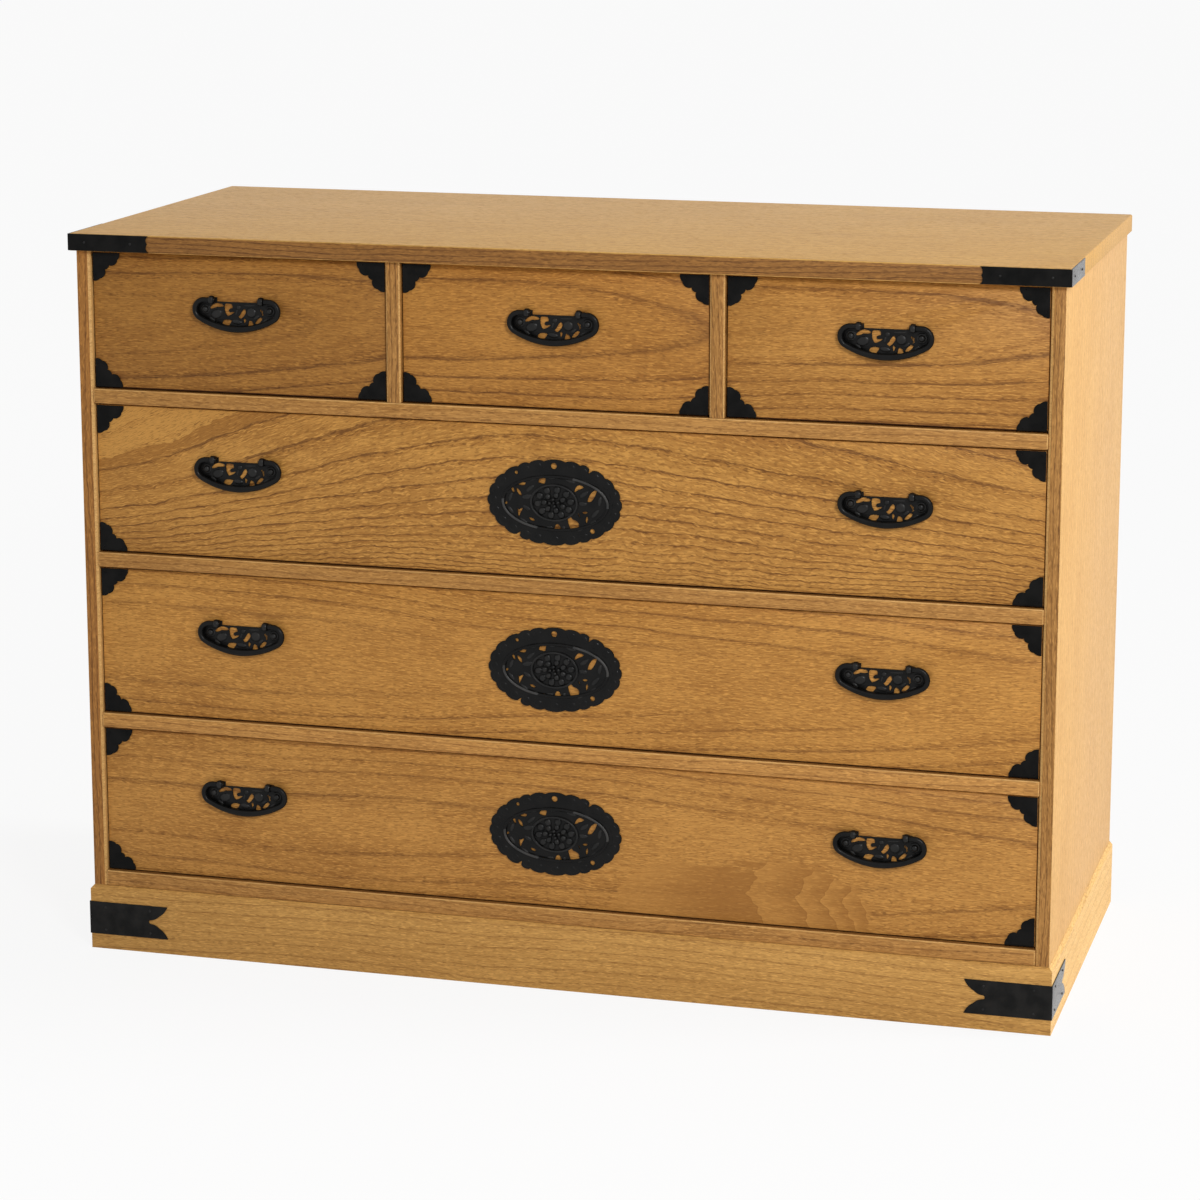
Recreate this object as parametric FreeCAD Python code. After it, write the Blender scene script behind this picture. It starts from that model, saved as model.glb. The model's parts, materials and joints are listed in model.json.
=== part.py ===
import FreeCAD, Part
import math
import os

os.makedirs("parts", exist_ok=True)

# A clothing chest of light wood with black iron fittings, in millimetres.
# X runs along the front, +Y to the back, +Z up. The origin is on the floor, under the
# middle of the whole chest.

# Whole chest
top_width = 1000.0
top_depth = 442.0
chest_height = 745.0

# Top board
top_thickness = 17.6
top_side_overhang = 4.6
top_front_overhang = 6.7
top_edge_easing = 1.0

# Carcass boards
side_thickness = 14.0
stile_chamfer_width = 2.4
stile_chamfer_depth = 2.0
rail_height = 15.0
bottom_rail_height = 16.0
rail_depth = 32.0
rail_tenon_length = 7.0
rail_tenon_setback = 8.0
rail_tenon_shoulder = 3.0
divider_thickness = 15.0
divider_chamfer = 1.4
divider_tongue_length = 4.0
divider_tongue_thickness = 6.0
shelf_thickness = 8.0
shelf_housing_depth = 5.0
back_thickness = 6.0
back_rebate_width = 7.0
small_opening_height = 139.6

# Plinth
plinth_face_height = 64.0
plinth_bevel_height = 3.8
plinth_proud = 3.3
plinth_board_thickness = 20.0

# Drawers
front_recess = 5.0
front_thickness = 20.0
front_side_gap = 1.2
front_top_gap = 1.6
front_bottom_gap = 1.2
running_gap = 0.3
front_lap = 8.0
drawer_side_thickness = 10.0
drawer_side_setdown = 3.0
drawer_back_thickness = 10.0
drawer_bottom_thickness = 6.0
joint_fingers = 5
stop_width = 40.0
stop_depth = 12.0
stop_height = 10.0
stop_place_shares = (0.2, 0.8)

# Straps bent round the corners of the top board and of the plinth
strap_thickness = 1.2
strap_bend_radius = 0.9
top_strap_length = 85.0
top_strap_margin = 0.4
top_strap_scallop = 2.6
plinth_strap_length = 85.0
plinth_strap_height = 34.5
plinth_strap_base = 16.0
swallowtail_depth = 18.5
nick_radius = 2.1

# Corner plates of the drawer fronts
corner_plate_leg = 28.5
corner_plate_thickness = 1.2
corner_plate_inset = 0.6

# Handles: a pierced plate, two eye posts and a bail that curls round at both ends
handle_end_distance = 152.2
handle_rise = 25.0
handle_plate_thickness = 1.6
handle_plate_top = 2.0
bail_width = 5.2
bail_middle_width = 6.8
bail_thickness = 6.4
bail_chamfer = 1.5
bail_drop = 28.5
bail_curl_radius = 9.8
bail_curl_place = 34.0
journal_radius = 2.6
journal_overhang = 1.1
eye_place = 26.0
eye_radius = 4.4
eye_width = 5.0
eye_clearance = 0.08
eye_side_clearance = 0.5
bail_rest_gap = 0.3
shank_width = 3.4
shank_depth = 12.0
shank_clearance = 0.05

# Oval plates of the wide drawers
oval_half_width = 68.3
oval_half_height = 42.8
oval_thickness = 2.0
oval_lobe_depth = 2.6
oval_lobes = 24
oval_bead_inset = 14.0
oval_bead_width = 1.6
oval_bead_height = 1.0
oval_bead_arcs = 8
oval_boss_radius = 17.0
oval_boss_top_radius = 14.0
oval_boss_height = 2.6
oval_ring_hole_radius = 3.2
oval_ring_hole_inset = 6.4

# One overrun for every cut
overrun = 1.0

# Derived sizes
body_half = top_width / 2 - top_side_overhang
inner_half = body_half - side_thickness
plinth_height = plinth_face_height + plinth_bevel_height
plinth_half = body_half + plinth_proud
top_underside = chest_height - top_thickness
standoff = handle_plate_thickness + bail_rest_gap + bail_thickness / 2
handle_reach = standoff + eye_radius
front_reach = max(strap_thickness, handle_reach - top_front_overhang - front_recess)
top_front = front_reach - (top_depth + front_reach) / 2
chest_back = top_front + top_depth
body_front = top_front + top_front_overhang
plinth_front_face = body_front - plinth_proud
drawer_face = body_front + front_recess
rail_back = body_front + rail_depth
back_panel_front = chest_back - back_thickness
drawer_rear = back_panel_front - stop_depth - running_gap
floor_level = plinth_height + bottom_rail_height
wide_opening_height = (
    top_underside - floor_level - small_opening_height - 3 * rail_height
) / 3
row_pitch = wide_opening_height + rail_height
small_row_level = floor_level + 3 * row_pitch
small_opening_width = (2 * inner_half - 2 * divider_thickness) / 3
small_pitch = small_opening_width + divider_thickness

wide_rows = {
    "lower_drawer": floor_level,
    "middle_drawer": floor_level + row_pitch,
    "upper_drawer": floor_level + 2 * row_pitch,
}
small_columns = {
    "left_small_drawer": -small_pitch,
    "middle_small_drawer": 0,
    "right_small_drawer": small_pitch,
}
rail_levels = {
    "bottom": (plinth_height, bottom_rail_height),
    "lower": (floor_level + wide_opening_height, rail_height),
    "middle": (floor_level + row_pitch + wide_opening_height, rail_height),
    "upper": (small_row_level - rail_height, rail_height),
}


def save(name, *solids):
    """Writes one node, a single solid or a group of separate solids."""
    shape = solids[0] if len(solids) == 1 else Part.makeCompound(list(solids))
    shape.exportStep("parts/" + name + ".step")


def box(x_range, y_range, z_range):
    """A straight board between two places on each axis."""
    low = FreeCAD.Vector(x_range[0], y_range[0], z_range[0])
    return Part.makeBox(
        x_range[1] - x_range[0], y_range[1] - y_range[0], z_range[1] - z_range[0], low
    )


def mirrored(shape):
    """The same piece on the other side of the chest's middle plane."""
    return shape.mirror(FreeCAD.Vector(0, 0, 0), FreeCAD.Vector(1, 0, 0))


def moved(shape, x, y, z):
    copy = shape.copy()
    copy.translate(FreeCAD.Vector(x, y, z))
    return copy


def cut_all(shape, tools):
    return shape.cut(Part.makeCompound(tools)) if tools else shape


def upright(points, height, level=0):
    """A prism over a plan of (x, y) points."""
    corners = [FreeCAD.Vector(x, y, level) for x, y in points]
    outline = Part.makePolygon(corners + corners[:1])
    return Part.Face(outline).extrude(FreeCAD.Vector(0, 0, height))


def arc(start, middle, end):
    """An arc through three (across, up) points of a sheet that faces the front."""
    spots = [FreeCAD.Vector(u, 0, w) for u, w in (start, middle, end)]
    return Part.Arc(*spots).toShape()


def line(start, end):
    spots = [FreeCAD.Vector(u, 0, w) for u, w in (start, end)]
    return Part.makeLine(*spots)


def sheet(edges, thickness):
    """A flat sheet whose back lies on y = 0 and whose face looks to the front."""
    face = Part.Face(Part.Wire(Part.__sortEdges__(edges)))
    return face.extrude(FreeCAD.Vector(0, -thickness, 0))


def disc(u, w, radius, thickness, back=0):
    """A round sheet, or the tool for a round hole."""
    centre = FreeCAD.Vector(u, back, w)
    return Part.makeCylinder(radius, thickness, centre, FreeCAD.Vector(0, -1, 0))


def leaf(u, w, length, width, angle, thickness):
    """A pointed leaf between two arcs, turned by an angle in degrees."""
    half = length / 2
    edges = [
        arc((-half, 0), (0, width / 2), (half, 0)),
        arc((half, 0), (0, -width / 2), (-half, 0)),
    ]
    shape = sheet(edges, thickness)
    shape.rotate(FreeCAD.Vector(0, 0, 0), FreeCAD.Vector(0, -1, 0), angle)
    return moved(shape, u, 0, w)


# Top board, with its upper edges eased
def top_board():
    board = box(
        (-top_width / 2, top_width / 2), (top_front, chest_back), (top_underside, chest_height)
    )
    upper = [edge for edge in board.Edges if edge.BoundBox.ZMin > top_underside]
    return board.makeChamfer(top_edge_easing, upper)


# Rails between the drawer rows, each with a stub tenon at both ends
def rail_tenon(level, height):
    return box(
        (inner_half, inner_half + rail_tenon_length),
        (body_front + rail_tenon_setback, rail_back),
        (level + rail_tenon_shoulder, level + height - rail_tenon_shoulder),
    )


def rail(level, height):
    bar = box((-inner_half, inner_half), (body_front, rail_back), (level, level + height))
    tenon = rail_tenon(level, height)
    return bar.fuse([tenon, mirrored(tenon)]).removeSplitter()


# Shelf boards behind the rails, their ends housed in the sides
def shelf(top_level):
    reach = inner_half + shelf_housing_depth
    return box(
        (-reach, reach), (rail_back, back_panel_front), (top_level - shelf_thickness, top_level)
    )


# Side panel: front edge chamfered inside, mortises for the rails, housings for the
# shelf boards and a rebate for the back panel
def right_side_panel():
    panel = box((inner_half, body_half), (body_front, chest_back), (plinth_height, top_underside))
    chamfer = upright(
        [
            (inner_half, body_front),
            (inner_half + stile_chamfer_width, body_front),
            (inner_half, body_front + stile_chamfer_depth),
        ],
        top_underside - plinth_height,
        plinth_height,
    )
    rebate = box(
        (inner_half, inner_half + back_rebate_width),
        (back_panel_front, chest_back),
        (plinth_height, top_underside),
    )
    cuts = [chamfer, rebate]
    for level, height in rail_levels.values():
        cuts.append(rail_tenon(level, height))
        cuts.append(shelf(level + height))
    return cut_all(panel, cuts)


def back_panel():
    reach = inner_half + back_rebate_width
    return box((-reach, reach), (back_panel_front, chest_back), (plinth_height, top_underside))


# Dividers between the small drawers: full depth, front edges chamfered, with a tongue
# that stands in a groove of the shelf board
def divider_tongue(x):
    half = divider_tongue_thickness / 2
    return box(
        (x - half, x + half),
        (rail_back, back_panel_front),
        (small_row_level - divider_tongue_length, small_row_level),
    )


def divider(x):
    half = divider_thickness / 2
    chamfer = divider_chamfer
    plan = [
        (x - half, body_front + chamfer),
        (x - half + chamfer, body_front),
        (x + half - chamfer, body_front),
        (x + half, body_front + chamfer),
        (x + half, back_panel_front),
        (x - half, back_panel_front),
    ]
    post = upright(plan, small_opening_height, small_row_level)
    return post.fuse(divider_tongue(x)).removeSplitter()


divider_places = (-small_pitch / 2, small_pitch / 2)


def upper_shelf():
    return cut_all(shelf(small_row_level), [divider_tongue(x) for x in divider_places])


# Stop blocks at the back of each opening, against which a closed drawer comes to rest
def stop_block(x, level):
    return box(
        (x - stop_width / 2, x + stop_width / 2),
        (back_panel_front - stop_depth, back_panel_front),
        (level, level + stop_height),
    )


def drawer_stops():
    blocks = []
    for level in wide_rows.values():
        for share in stop_place_shares:
            blocks.append(stop_block((2 * share - 1) * inner_half, level))
    for centre in small_columns.values():
        for share in stop_place_shares:
            x = centre + (share - 1 / 2) * small_opening_width
            blocks.append(stop_block(x, small_row_level))
    return blocks


# Plinth boards with a bevelled upper edge, mitred at the front corners
def plinth_front():
    back = plinth_front_face + plinth_board_thickness
    profile = [
        (plinth_front_face, 0),
        (plinth_front_face, plinth_face_height),
        (body_front, plinth_height),
        (back, plinth_height),
        (back, 0),
    ]
    spots = [FreeCAD.Vector(-plinth_half, y, z) for y, z in profile]
    face = Part.Face(Part.makePolygon(spots + spots[:1]))
    board = face.extrude(FreeCAD.Vector(2 * plinth_half, 0, 0))
    inner = plinth_half - plinth_board_thickness
    mitres = upright(
        [
            (-plinth_half, plinth_front_face),
            (plinth_half, plinth_front_face),
            (inner, back),
            (-inner, back),
        ],
        plinth_height,
    )
    return board.common(mitres)


def plinth_right():
    inner = plinth_half - plinth_board_thickness
    profile = [
        (plinth_half, 0),
        (plinth_half, plinth_face_height),
        (body_half, plinth_height),
        (inner, plinth_height),
        (inner, 0),
    ]
    spots = [FreeCAD.Vector(x, plinth_front_face, z) for x, z in profile]
    face = Part.Face(Part.makePolygon(spots + spots[:1]))
    board = face.extrude(FreeCAD.Vector(0, chest_back - plinth_front_face, 0))
    mitre = upright(
        [
            (plinth_half, plinth_front_face),
            (plinth_half, chest_back),
            (inner, chest_back),
            (inner, plinth_front_face + plinth_board_thickness),
        ],
        plinth_height,
    )
    return board.common(mitre)


def plinth_back():
    inner = plinth_half - plinth_board_thickness
    return box((-inner, inner), (chest_back - plinth_board_thickness, chest_back), (0, plinth_height))


# Iron straps: a front leg and a side leg of the same outline, bent round the corner.
# A leg is drawn from the corner (across = 0) to its free end.
def scalloped_leg(length, height):
    """The end of the top strap: two hollows that meet in a small point."""
    hollow = length - top_strap_scallop
    point = length - top_strap_scallop / 2
    return [
        line((0, 0), (length, 0)),
        arc((length, 0), (hollow, height / 4), (point, height / 2)),
        arc((point, height / 2), (hollow, 3 * height / 4), (length, height)),
        line((length, height), (0, height)),
        line((0, height), (0, 0)),
    ]


# Points of half a swallowtail end: across as shares of its depth, up as shares of half
# the strap's height. Two lobes run in from the tip to the round nick.
tail_cusp_shares = (0.52, 0.36)
tail_outer_lobe_shares = (0.22, 0.62)
tail_inner_lobe_shares = (0.74, 0.19)


def swallowtail_leg(length, height):
    middle = height / 2
    mouth = length - swallowtail_depth

    def spot(shares, side):
        across, up = shares
        return (length - across * swallowtail_depth, middle + side * up * middle)

    nick = (mouth - nick_radius, middle)
    edges = [line((0, 0), (length, 0)), line((length, height), (0, height))]
    edges.append(line((0, height), (0, 0)))
    for side in (-1, 1):
        tip = (length, middle + side * middle)
        cusp = spot(tail_cusp_shares, side)
        lip = (mouth, middle + side * nick_radius)
        edges.append(arc(tip, spot(tail_outer_lobe_shares, side), cusp))
        edges.append(arc(cusp, spot(tail_inner_lobe_shares, side), lip))
    edges.append(arc((mouth, middle - nick_radius), nick, (mouth, middle + nick_radius)))
    return edges


def corner_strap(edges, height, corner_x, corner_y, level):
    """The strap at the right front corner that stands at (corner_x, corner_y)."""
    leg = sheet(edges, strap_thickness)
    front = leg.mirror(FreeCAD.Vector(0, 0, 0), FreeCAD.Vector(1, 0, 0))
    side = leg.copy()
    side.rotate(FreeCAD.Vector(0, 0, 0), FreeCAD.Vector(0, 0, 1), 90)
    bend = box((0, strap_thickness), (-strap_thickness, 0), (0, height))
    strap = front.fuse([side, bend]).removeSplitter()
    outer = [
        edge
        for edge in strap.Edges
        if edge.BoundBox.XMin > strap_thickness / 2
        and edge.BoundBox.YMax < -strap_thickness / 2
        and edge.BoundBox.ZLength > height / 2
    ]
    return moved(strap.makeFillet(strap_bend_radius, outer), corner_x, corner_y, level)


def top_strap():
    height = top_thickness - 2 * top_strap_margin
    edges = scalloped_leg(top_strap_length, height)
    return corner_strap(edges, height, top_width / 2, top_front, top_underside + top_strap_margin)


def plinth_strap():
    edges = swallowtail_leg(plinth_strap_length, plinth_strap_height)
    return corner_strap(
        edges, plinth_strap_height, plinth_half, plinth_front_face, plinth_strap_base
    )


# Drawers. An opening is given as (left, right, bottom, top).
def drawer_front(opening, shank_holes):
    left, right, bottom, top = opening
    front_x = (left + front_side_gap, right - front_side_gap)
    front_z = (bottom + front_bottom_gap, top - front_top_gap)
    board = box(front_x, (drawer_face, drawer_face + front_thickness), front_z)
    lap_y = (drawer_face + front_lap, drawer_face + front_thickness)
    seat = bottom + running_gap + drawer_bottom_thickness
    side_z = (seat, front_z[1] - drawer_side_setdown)
    cuts = [
        box((front_x[0], front_x[0] + drawer_side_thickness), lap_y, side_z),
        box((front_x[1] - drawer_side_thickness, front_x[1]), lap_y, side_z),
        box(front_x, lap_y, (bottom, seat)),
    ]
    return cut_all(board, cuts + shank_holes)


def finger_zones(low, high):
    """The heights of the fingers that belong to the drawer back."""
    pitch = (high - low) / joint_fingers
    return [(low + n * pitch, low + (n + 1) * pitch) for n in range(1, joint_fingers, 2)]


def drawer_box(opening):
    """Two sides and the back, finger jointed at the rear corners."""
    left, right, bottom, top = opening
    outer = (left + front_side_gap, right - front_side_gap)
    inner = (outer[0] + drawer_side_thickness, outer[1] - drawer_side_thickness)
    side_y = (drawer_face + front_lap, drawer_rear)
    back_y = (drawer_rear - drawer_back_thickness, drawer_rear)
    wall_z = (
        bottom + running_gap + drawer_bottom_thickness,
        top - front_top_gap - drawer_side_setdown,
    )
    left_fingers = [box((outer[0], inner[0]), back_y, zone) for zone in finger_zones(*wall_z)]
    right_fingers = [box((inner[1], outer[1]), back_y, zone) for zone in finger_zones(*wall_z)]
    left_side = cut_all(box((outer[0], inner[0]), side_y, wall_z), left_fingers)
    right_side = cut_all(box((inner[1], outer[1]), side_y, wall_z), right_fingers)
    back = box(inner, back_y, wall_z).fuse(left_fingers + right_fingers).removeSplitter()
    return left_side, right_side, back


def drawer_bottom(opening):
    left, right, bottom, _ = opening
    return box(
        (left + front_side_gap, right - front_side_gap),
        (drawer_face + front_lap, drawer_rear),
        (bottom + running_gap, bottom + running_gap + drawer_bottom_thickness),
    )


# Corner plate: two legs with a stepped cloud edge, as shares of the leg, drawn from one
# leg's end to the diagonal; the other half is its mirror image
cloud_cusp_shares = (0.66, 0.47)
cloud_outer_lobe_shares = (0.90, 0.28)
cloud_middle_share = 0.595


def corner_plate():
    leg = corner_plate_leg

    def spot(shares):
        return (shares[0] * leg, shares[1] * leg)

    def swapped(point):
        return (point[1], point[0])

    cusp = spot(cloud_cusp_shares)
    lobe = spot(cloud_outer_lobe_shares)
    middle = (cloud_middle_share * leg, cloud_middle_share * leg)
    edges = [
        line((0, 0), (leg, 0)),
        arc((leg, 0), lobe, cusp),
        arc(cusp, middle, swapped(cusp)),
        arc(swapped(cusp), swapped(lobe), (0, leg)),
        line((0, leg), (0, 0)),
    ]
    return sheet(edges, corner_plate_thickness)


def corner_plates(opening):
    left, right, bottom, top = opening
    low_x = left + front_side_gap + corner_plate_inset
    high_x = right - front_side_gap - corner_plate_inset
    low_z = bottom + front_bottom_gap + corner_plate_inset
    high_z = top - front_top_gap - corner_plate_inset
    corners = [(low_x, low_z), (high_x, low_z), (high_x, high_z), (low_x, high_z)]
    plates = []
    for quarter, (x, z) in enumerate(corners):
        plate = corner_plate()
        plate.rotate(FreeCAD.Vector(0, 0, 0), FreeCAD.Vector(0, -1, 0), 90 * quarter)
        plates.append(moved(plate, x, drawer_face, z))
    return plates


# Handle. Its own origin is on the bail's pivot line, in the middle of the handle, and on
# the drawer's face. The lower bar lies between two arcs, wider apart in the middle, that
# run tangent into the curls.
class LowerArc:
    """The arc through a depth under the pivot line that touches a circle round the curl."""

    def __init__(self, depth, reach):
        gap = depth - reach
        squares = bail_curl_place**2 + bail_curl_radius**2 - gap**2
        self.depth = depth
        self.centre = squares / (2 * (gap - bail_curl_radius))
        self.radius = self.centre + depth
        self.turn = math.atan2(bail_curl_place, self.centre + bail_curl_radius)

    def end(self, side=1):
        across = self.radius * math.sin(self.turn)
        return (side * across, self.centre - self.radius * math.cos(self.turn))

    def edge(self):
        return arc(self.end(-1), (0, -self.depth), self.end(1))


def bail_edge(offset, middle_offset):
    """One long edge of the bail, at an offset outwards from the bar's middle line."""
    reach = bail_curl_radius + offset
    lower = LowerArc(bail_drop + middle_offset, reach)
    start = eye_place + eye_width / 2 + eye_side_clearance
    edges = [lower.edge()]
    for side in (-1, 1):
        top = (side * bail_curl_place, offset)
        outermost = (side * (bail_curl_place + reach), -bail_curl_radius)
        edges.append(arc(top, outermost, lower.end(side)))
        edges.append(line((side * start, offset), top))
    return edges


def bail():
    """A forged bar, curled at both ends, whose round journals turn in the eyes."""
    half = bail_width / 2
    start = eye_place + eye_width / 2 + eye_side_clearance
    edges = bail_edge(half, bail_middle_width / 2) + bail_edge(-half, -bail_middle_width / 2)
    for side in (-1, 1):
        edges.append(line((side * start, half), (side * start, -half)))
    bar = moved(sheet(edges, bail_thickness), 0, bail_thickness / 2, 0)
    arrises = [edge for edge in bar.Edges if edge.BoundBox.YLength < bail_thickness / 2]
    bar = bar.makeChamfer(bail_chamfer, arrises)
    inner_end = eye_place - eye_width / 2 - journal_overhang
    journals = [
        Part.makeCylinder(
            journal_radius,
            start + bail_width / 2 - inner_end,
            FreeCAD.Vector(side * inner_end, 0, 0),
            FreeCAD.Vector(side, 0, 0),
        )
        for side in (-1, 1)
    ]
    return moved(bar.fuse(journals).removeSplitter(), 0, -standoff, 0)


# Leaves of the pierced handle plate: across as shares of the curl's place, up as shares
# of the bail's drop, length and width as shares of the curl's place, angle in degrees
handle_leaf_shares = (
    (-0.69, -0.30, 0.42, 0.085, 22),
    (0.09, -0.54, 0.30, 0.12, 50),
    (0.69, -0.38, 0.30, 0.085, -70),
    (-0.40, -0.79, 0.30, 0.085, 22),
    (0.42, -0.80, 0.28, 0.085, 30),
)
lune_place_shares = (-0.33, -0.41)
lune_half_height_share = 0.17
lune_outer_share = 0.15
lune_inner_share = 0.05


def shank(side, clearance, y_range):
    """The square shank of an eye post, or with a clearance the hole for it."""
    x = side * eye_place
    half = shank_width / 2 + clearance
    return box((x - half, x + half), y_range, (-half, half))


def handle_plate():
    """A crescent behind the bail, with round ears in its curls and a pierced middle."""
    thickness = handle_plate_thickness
    lower = LowerArc(bail_drop, bail_curl_radius)
    left, right = lower.end(-1), lower.end(1)
    crescent = sheet(
        [
            line((left[0], -handle_plate_top), (right[0], -handle_plate_top)),
            line((right[0], -handle_plate_top), right),
            lower.edge(),
            line(left, (left[0], -handle_plate_top)),
        ],
        thickness,
    )
    ears = []
    cuts = []
    for side in (-1, 1):
        ears.append(disc(side * bail_curl_place, -bail_curl_radius, bail_curl_radius, thickness))
        ears.append(
            box(
                (side * eye_place - eye_radius, side * eye_place + eye_radius),
                (-thickness, 0),
                (-bail_curl_radius, eye_radius - handle_plate_top),
            )
        )
        cuts.append(shank(side, shank_clearance, (-thickness, 0)))
    plate = crescent.fuse(ears).removeSplitter()
    for across, up, length, width, angle in handle_leaf_shares:
        cuts.append(
            leaf(
                across * bail_curl_place,
                up * bail_drop,
                length * bail_curl_place,
                width * bail_curl_place,
                angle,
                thickness,
            )
        )
    half = lune_half_height_share * bail_curl_place
    outer, inner = lune_outer_share * bail_curl_place, lune_inner_share * bail_curl_place
    lune = sheet(
        [arc((0, half), (-outer, 0), (0, -half)), arc((0, -half), (-inner, 0), (0, half))],
        thickness,
    )
    lune_across, lune_up = lune_place_shares
    cuts.append(moved(lune, lune_across * bail_curl_place, 0, lune_up * bail_drop))
    return cut_all(plate, cuts)


def eye_post(side):
    """A forged post: an eye for the journal and a shank through the plate into the wood."""
    x = side * eye_place
    along = FreeCAD.Vector(1, 0, 0)
    eye = Part.makeCylinder(
        eye_radius, eye_width, FreeCAD.Vector(x - eye_width / 2, -standoff, 0), along
    )
    behind = box(
        (x - eye_width, x + eye_width),
        (-handle_plate_thickness, standoff),
        (-2 * eye_radius, 2 * eye_radius),
    )
    bore = Part.makeCylinder(
        journal_radius + eye_clearance,
        eye_width + 2 * overrun,
        FreeCAD.Vector(x - eye_width / 2 - overrun, -standoff, 0),
        along,
    )
    stem = shank(side, 0, (-standoff, shank_depth))
    return eye.cut(behind).fuse(stem).removeSplitter().cut(bore)


def handle_places(opening, count):
    """The pivot-line middles of a drawer's handles, as (x, z)."""
    left, right, bottom, top = opening
    height = (bottom + top) / 2 + handle_rise
    middle = (left + right) / 2
    if count == 1:
        return [(middle, height)]
    reach = (right - left) / 2 - front_side_gap - handle_end_distance
    return [(middle - reach, height), (middle + reach, height)]


def shank_holes(places):
    holes = []
    for x, z in places:
        for side in (-1, 1):
            hole = shank(side, shank_clearance, (0, shank_depth))
            holes.append(moved(hole, x, drawer_face, z))
    return holes


# Oval plate of a wide drawer. The leaves of its openwork lie between the raised bead and
# the boss: across as shares of the half width, up as shares of the half height, length
# and width as shares of the half width, angle in degrees.
oval_leaf_shares = (
    (-0.18, 0.50, 0.15, 0.055, 30),
    (-0.47, 0.42, 0.14, 0.04, 4),
    (-0.54, 0.21, 0.16, 0.055, -55),
    (-0.51, -0.26, 0.14, 0.05, 82),
    (-0.22, -0.48, 0.15, 0.05, -14),
    (0.08, -0.52, 0.14, 0.05, 40),
    (0.30, -0.43, 0.19, 0.06, -24),
    (0.49, -0.28, 0.18, 0.055, 72),
    (0.37, 0.38, 0.18, 0.05, 20),
    (0.57, 0.18, 0.19, 0.055, 62),
)


def oval_spot(angle, inset):
    return (
        (oval_half_width - inset) * math.cos(angle),
        (oval_half_height - inset) * math.sin(angle),
    )


def oval_arcs(count, rim_inset, middle_inset):
    """A closed oval of equal steps; each arc may bulge outwards between its ends."""
    half_step = math.pi / count
    return [
        arc(
            oval_spot((2 * n - 1) * half_step, rim_inset),
            oval_spot(2 * n * half_step, middle_inset),
            oval_spot((2 * n + 1) * half_step, rim_inset),
        )
        for n in range(count)
    ]


def oval_bead():
    """A raised line that follows the rim at a distance."""
    reach = oval_bead_inset + oval_bead_width
    outer = sheet(oval_arcs(oval_bead_arcs, oval_bead_inset, oval_bead_inset), oval_bead_height)
    inner = sheet(oval_arcs(oval_bead_arcs, reach, reach), oval_bead_height)
    return outer.cut(inner)


def oval_boss():
    """A low round boss with sloping sides."""
    return Part.makeCone(
        oval_boss_radius,
        oval_boss_top_radius,
        oval_boss_height,
        FreeCAD.Vector(0, 0, 0),
        FreeCAD.Vector(0, -1, 0),
    )


def oval_plate():
    plate = sheet(oval_arcs(oval_lobes, oval_lobe_depth, 0), oval_thickness)
    cuts = [
        disc(0, oval_half_height - oval_ring_hole_inset, oval_ring_hole_radius, oval_thickness)
    ]
    for across, up, length, width, angle in oval_leaf_shares:
        cuts.append(
            leaf(
                across * oval_half_width,
                up * oval_half_height,
                length * oval_half_width,
                width * oval_half_width,
                angle,
                oval_thickness,
            )
        )
    plate = cut_all(plate, cuts)
    relief = [moved(piece, 0, -oval_thickness, 0) for piece in (oval_bead(), oval_boss())]
    return plate.fuse(relief).removeSplitter()


def write_drawer(name, opening, handle_count):
    """All the nodes of one drawer and its handles."""
    left, right, bottom, top = opening
    places = handle_places(opening, handle_count)
    save(name + "_front", drawer_front(opening, shank_holes(places)))
    save(name + "_box", *drawer_box(opening))
    save(name + "_bottom", drawer_bottom(opening))
    save(name + "_corner_plates", *corner_plates(opening))
    fittings = []
    for x, z in places:
        for piece in (handle_plate(), eye_post(-1), eye_post(1)):
            fittings.append(moved(piece, x, drawer_face, z))
    save(name + "_handle_plates", *fittings)
    names = ("",) if handle_count == 1 else ("_left", "_right")
    for (x, z), side in zip(places, names):
        save(name + side + "_bail", moved(bail(), x, drawer_face, z))
    if handle_count == 2:
        save(
            name + "_oval_plate",
            moved(oval_plate(), (left + right) / 2, drawer_face, (bottom + top) / 2),
        )


def write_carcass():
    save("top_board", top_board())
    side_panel = right_side_panel()
    save("right_side_panel", side_panel)
    save("left_side_panel", mirrored(side_panel))
    save("back_panel", back_panel())
    for name, (level, height) in rail_levels.items():
        save(name + "_rail", rail(level, height))
    save("floor_board", shelf(floor_level))
    save("lower_shelf", shelf(floor_level + row_pitch))
    save("middle_shelf", shelf(floor_level + 2 * row_pitch))
    save("upper_shelf", upper_shelf())
    save("small_drawer_dividers", *[divider(x) for x in divider_places])
    save("drawer_stops", *drawer_stops())
    save("plinth_front", plinth_front())
    plinth_side = plinth_right()
    save("plinth_sides_and_back", plinth_side, mirrored(plinth_side), plinth_back())
    strap = top_strap()
    save("top_corner_straps", strap, mirrored(strap))
    strap = plinth_strap()
    save("plinth_corner_straps", strap, mirrored(strap))


write_carcass()
for name, level in wide_rows.items():
    write_drawer(name, (-inner_half, inner_half, level, level + wide_opening_height), 2)
for name, centre in small_columns.items():
    half = small_opening_width / 2
    write_drawer(
        name,
        (centre - half, centre + half, small_row_level, small_row_level + small_opening_height),
        1,
    )
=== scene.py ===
import json
import math

import bpy
from mathutils import Matrix, Vector

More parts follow.
